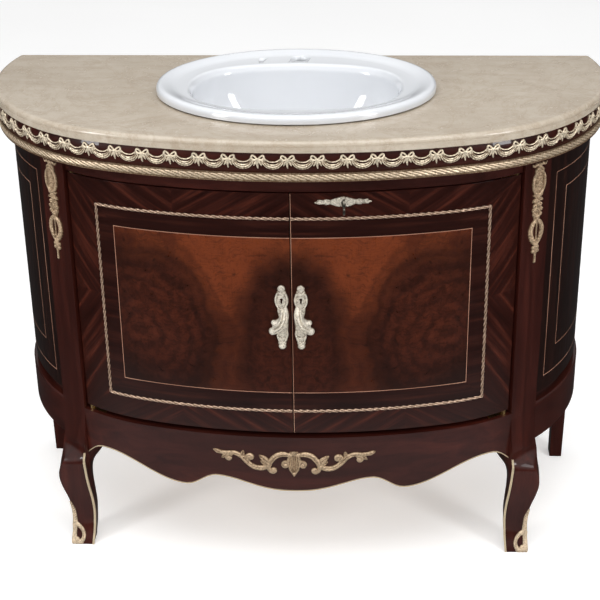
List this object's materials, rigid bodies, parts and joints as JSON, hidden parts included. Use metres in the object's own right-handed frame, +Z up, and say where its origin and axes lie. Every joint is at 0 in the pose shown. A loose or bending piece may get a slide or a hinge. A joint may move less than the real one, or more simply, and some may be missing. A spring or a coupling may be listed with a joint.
{
  "type": "washstand with marble top",
  "caption": "Half-moon washstand with marble top, drop-in oval basin, bowed lockable doors, cabriole front legs and gilt mounts.",
  "frame": {"origin": "on the floor, under the middle of the marble top's outline", "axes": "+X to the right as seen from the front, +Y to the wall, +Z up; the doors face -Y"},
  "size_m": [1.1378, 0.4829, 0.897],
  "materials": {
    "marble": "polished cream marble",
    "ceramic": "white glaze",
    "seal": "matte",
    "chrome": "polished plate",
    "mahogany": "dark polished lacquer",
    "veneer": "polished figured veneer",
    "gilt": "gilt cast metal",
    "plain_wood": "unfinished",
    "brass": "plain",
    "steel": "satin"
  },
  "bodies": {
    "cabinet": {"marble_top": "marble", "basin": "ceramic", "basin_seal": "seal", "waste_body": "chrome", "waste_gaskets": "seal", "waste_nut": "chrome", "frieze_front": "mahogany", "frieze_left": "mahogany", "frieze_right": "mahogany", "garland": "gilt", "band_front": "gilt", "band_left": "gilt", "band_right": "gilt", "top_rail": "mahogany", "upper_stop": "plain_wood", "lower_stop": "plain_wood", "front_leg_left": "mahogany", "front_leg_right": "mahogany", "back_leg_left": "mahogany", "back_leg_right": "mahogany", "side_panel_left": "veneer", "side_panel_right": "veneer", "base_rail_left": "mahogany", "base_rail_right": "mahogany", "apron": "mahogany", "apron_strip": "gilt", "leg_strip_left": "gilt", "leg_strip_right": "gilt", "apron_mount": "gilt", "corner_mount_left": "gilt", "corner_mount_right": "gilt", "sabot_left": "gilt", "sabot_right": "gilt", "bottom_board": "plain_wood", "back_panel": "plain_wood", "back_top_rail": "plain_wood", "marble_bearers": "plain_wood", "glue_blocks": "plain_wood", "back_screws": "steel", "hinge_frames_left": "brass", "hinge_frames_right": "brass", "hinge_collars": "brass", "strike_plates": "brass"},
    "left_door": {"door_left": "veneer", "rope_left": "gilt", "pull_left": "gilt", "hinge_leaves_left": "brass", "ball_catch_left": "steel"},
    "right_door": {"door_right": "veneer", "rope_right": "gilt", "pull_right": "gilt", "hinge_leaves_right": "brass", "ball_catch_right": "steel", "escutcheon": "gilt", "lock_case": "brass"},
    "bolt": {"lock_bolt": "brass"},
    "key": {"key": "steel"}
  },
  "joints": [
    {"name": "left_door_hinge", "type": "hinge", "parent": "cabinet", "child": "left_door", "pos_m": [-0.38799, -0.11447, 0.54], "axis": [0, 0, -1], "range_deg": [0, 100]},
    {"name": "right_door_hinge", "type": "hinge", "parent": "cabinet", "child": "right_door", "pos_m": [0.38799, -0.11447, 0.54], "axis": [0, 0, 1], "range_deg": [0, 100]},
    {"name": "key_turn", "type": "hinge", "parent": "right_door", "child": "key", "pos_m": [0.09089, -0.20655, 0.761], "axis": [0.0868, -0.9962, 0], "range_deg": [0, 180]},
    {"name": "bolt_slide", "type": "slide", "parent": "right_door", "child": "bolt", "axis": [0, 0, 1], "range_m": [0, 0.0105]}
  ],
  "couplings": [
    {"joint": "bolt_slide", "follows": "key_turn", "m_per_rad": 0.0028648}
  ]
}
